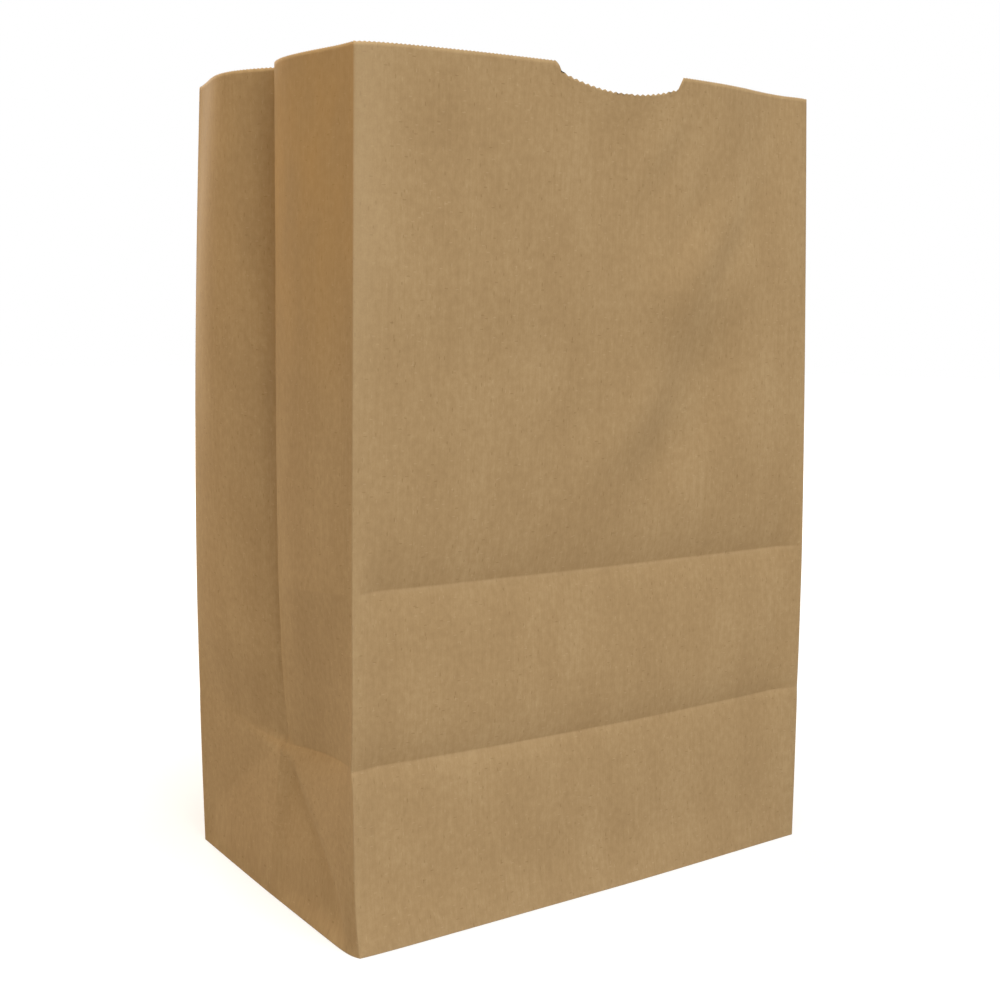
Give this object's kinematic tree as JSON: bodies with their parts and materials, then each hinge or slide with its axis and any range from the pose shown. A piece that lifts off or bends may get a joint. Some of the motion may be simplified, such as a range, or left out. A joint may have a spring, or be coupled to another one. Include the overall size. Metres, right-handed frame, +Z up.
{
  "type": "brown paper bag",
  "caption": "Square-bottomed gusseted bag of folded brown kraft paper, standing open, with a thumb notch and a saw-cut rim.",
  "frame": {"origin": "middle of the flat bottom, on the underside of its outer flap", "axes": "+Z up to the open rim; the face with the thumb notch looks along -Y; +X runs across the face to the right as it is looked at"},
  "size_m": [0.3137, 0.2044, 0.432],
  "materials": {
    "kraft_paper": "matt unbleached kraft paper"
  },
  "bodies": {
    "root": {"paper_bag": "kraft_paper"}
  },
  "joints": []
}
